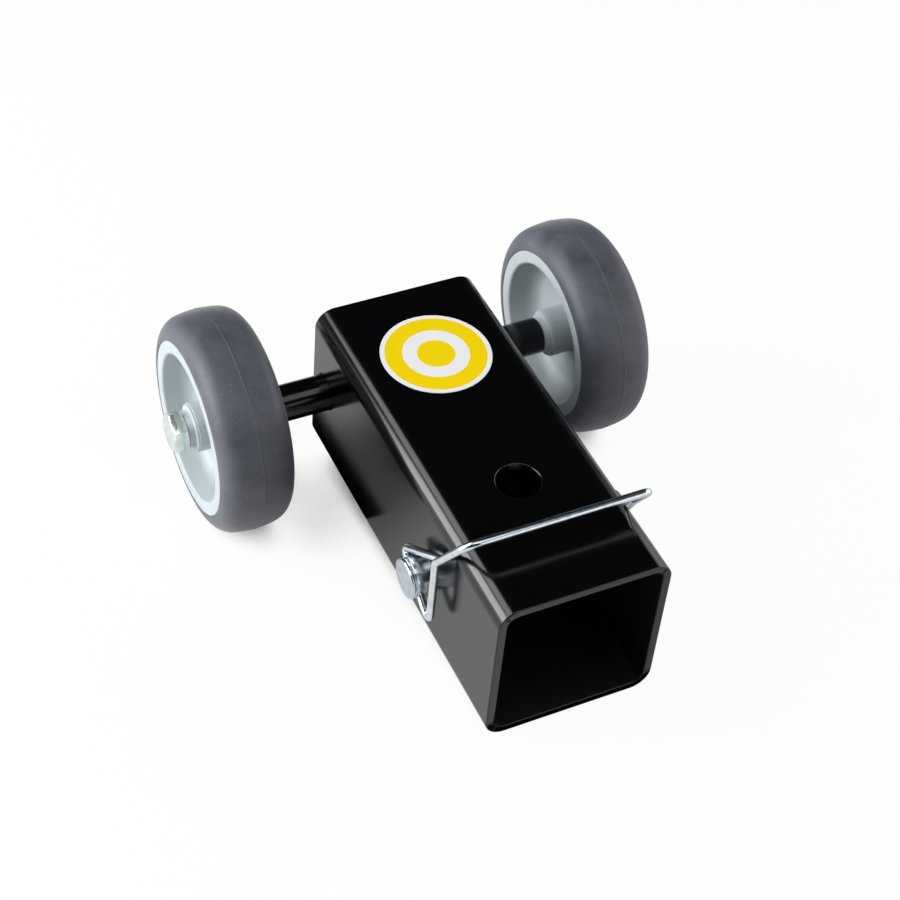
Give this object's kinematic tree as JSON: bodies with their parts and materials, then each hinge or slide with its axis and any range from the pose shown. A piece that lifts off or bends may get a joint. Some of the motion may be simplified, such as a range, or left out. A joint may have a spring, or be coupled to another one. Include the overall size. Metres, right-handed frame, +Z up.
{
  "type": "bike rack support dolly",
  "caption": "Black square steel receiver tube on rubber-tyred wheels, with a lock pin and wire bail, that carries the end of a hitch-mounted bike rack on the floor.",
  "frame": {"origin": "centre of the receiver tube's open mouth, in the plane of its sawn end", "axes": "+Y along the tube from the mouth towards the wheels, +X to the right seen from the mouth, +Z up, square to the tube's top wall"},
  "size_m": [0.174, 0.1735, 0.078],
  "materials": {
    "powder_coat": "gloss black powder coat",
    "label_film": "printed label film",
    "plain_steel": "turned steel",
    "zinc_steel": "bright zinc plate",
    "zinc_wire": "bright zinc plated spring wire",
    "tyre_rubber": "satin grey rubber",
    "hub_plastic": "satin moulded polypropylene",
    "nylon": "moulded nylon"
  },
  "bodies": {
    "frame": {"receiver_tube": "powder_coat", "axle_bar": "powder_coat", "weld_left": "powder_coat", "weld_right": "powder_coat", "label_disc": "label_film", "sleeve_left": "plain_steel", "sleeve_right": "plain_steel", "bolt_left": "zinc_steel", "bolt_right": "zinc_steel"},
    "left_wheel": {"tyre_left": "tyre_rubber", "hub_left": "hub_plastic", "bush_inner_left": "nylon", "bush_outer_left": "nylon"},
    "right_wheel": {"tyre_right": "tyre_rubber", "hub_right": "hub_plastic", "bush_inner_right": "nylon", "bush_outer_right": "nylon"},
    "pin": {"lock_pin": "zinc_steel"},
    "bail": {"wire_bail": "zinc_wire"}
  },
  "joints": [
    {"name": "left_wheel_spin", "type": "hinge", "parent": "frame", "child": "left_wheel", "pos_m": [-0.0673, 0.1345, 0.0015], "axis": [1, 0, 0], "continuous": true},
    {"name": "right_wheel_spin", "type": "hinge", "parent": "frame", "child": "right_wheel", "pos_m": [0.0673, 0.1345, 0.0015], "axis": [1, 0, 0], "continuous": true},
    {"name": "pin_turn", "type": "hinge", "parent": "frame", "child": "pin", "pos_m": [0, 0.0486, -0.0016], "axis": [1, 0, 0], "range_deg": [-78, 12]},
    {"name": "bail_swing", "type": "hinge", "parent": "pin", "child": "bail", "pos_m": [-0.0345, 0.0486, -0.0016], "axis": [0, -0.8387, -0.5446], "range_deg": [0, 150]}
  ]
}
